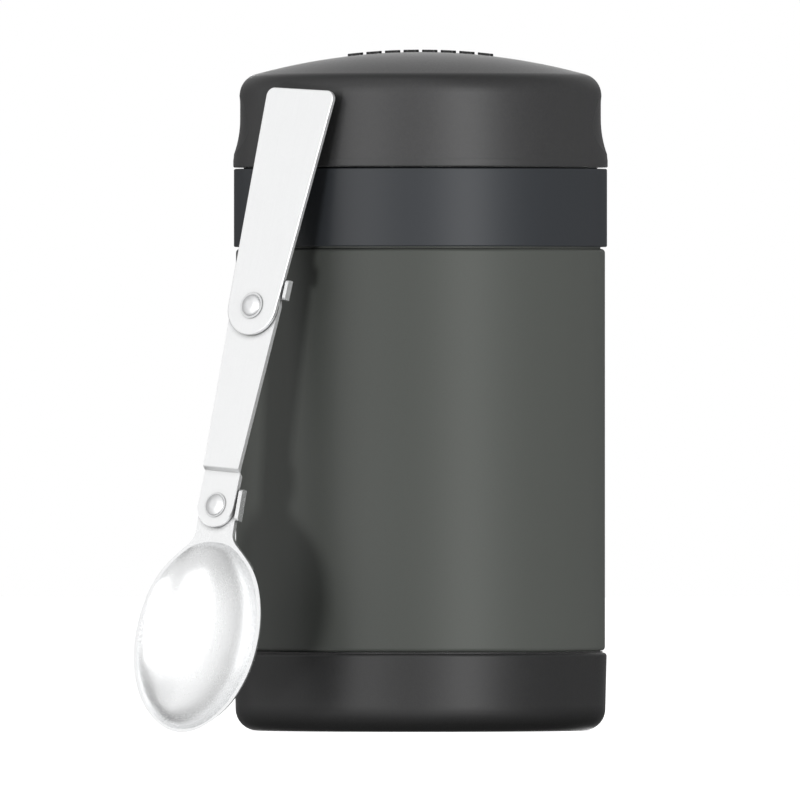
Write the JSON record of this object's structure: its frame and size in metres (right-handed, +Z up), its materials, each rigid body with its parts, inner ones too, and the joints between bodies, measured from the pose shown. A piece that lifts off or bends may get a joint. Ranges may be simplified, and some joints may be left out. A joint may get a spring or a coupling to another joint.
{
  "type": "insulated food jar",
  "caption": "Wide-mouth vacuum food jar with a screw-in stopper, a domed screw-on cover and a folding steel spoon leaning against it.",
  "frame": {"origin": "on the jar's axis, at the plane that the jar stands on", "axes": "+Z up along the jar's axis; -Y is the front, from which the spoon stands at the left"},
  "size_m": [0.1192, 0.1165, 0.1715],
  "materials": {
    "body_paint": "satin",
    "steel": "satin",
    "raw_steel": "satin",
    "bead": "gloss",
    "getter_metal": "matte",
    "copper_foil": "satin",
    "soft_base": "matte",
    "pad_rubber": "matte",
    "band_plastic": "satin",
    "plug_plastic": "satin",
    "foam": "matte",
    "silicone": "satin",
    "soft_lid": "matte",
    "seal_rubber": "matte",
    "spoon_steel": "satin",
    "bowl_steel": "polished",
    "rivet_steel": "polished"
  },
  "bodies": {
    "jar": {"outer_shell": "body_paint", "inner_vessel": "steel", "vacuum_base_plate": "raw_steel", "vacuum_seal_bead": "bead", "getter": "getter_metal", "radiation_foil": "copper_foil", "base_cup": "soft_base", "bottom_pad": "pad_rubber"},
    "rim_seal": {"stopper_gasket": "silicone"},
    "stopper": {"stopper_body": "band_plastic", "stopper_base": "plug_plastic", "stopper_foam": "foam"},
    "lip_seal": {"cover_seal": "seal_rubber"},
    "cover": {"lid_cover": "soft_lid"},
    "spoon": {"spoon_link": "spoon_steel", "upper_rivet": "rivet_steel", "lower_rivet": "rivet_steel", "upper_washer": "rivet_steel", "lower_washer": "rivet_steel"},
    "handle": {"spoon_handle": "spoon_steel"},
    "bowl": {"spoon_bowl": "bowl_steel"}
  },
  "joints": [
    {"name": "lid_lift", "type": "slide", "parent": "jar", "child": "rim_seal", "axis": [0, 0, 1], "range_m": [0, 0.0361]},
    {"name": "lid_turn", "type": "hinge", "parent": "rim_seal", "child": "stopper", "pos_m": [0, 0, 0.13], "axis": [0, 0, 1], "range_deg": [0, 1080]},
    {"name": "cover_lift", "type": "slide", "parent": "stopper", "child": "lip_seal", "axis": [0, 0, 1], "range_m": [0, 0.0181]},
    {"name": "cover_turn", "type": "hinge", "parent": "lip_seal", "child": "cover", "pos_m": [0, 0, 0.15], "axis": [0, 0, 1], "range_deg": [0, 540]},
    {"name": "spoon_away", "type": "slide", "parent": "jar", "child": "spoon", "axis": [-0.5523, -0.7602, 0.342], "range_m": [0, 0.08]},
    {"name": "handle_fold", "type": "hinge", "parent": "spoon", "child": "handle", "pos_m": [-0.0412, -0.045, 0.10647], "axis": [-0.5703, -0.785, 0.2419], "range_deg": [0, 180]},
    {"name": "bowl_fold", "type": "hinge", "parent": "spoon", "child": "bowl", "pos_m": [-0.0517, -0.05259, 0.05711], "axis": [0.5703, 0.785, -0.2419], "range_deg": [0, 180]}
  ],
  "couplings": [
    {"joint": "lid_lift", "follows": "lid_turn", "m_per_rad": 0.0019099},
    {"joint": "cover_lift", "follows": "cover_turn", "m_per_rad": 0.0019099}
  ]
}
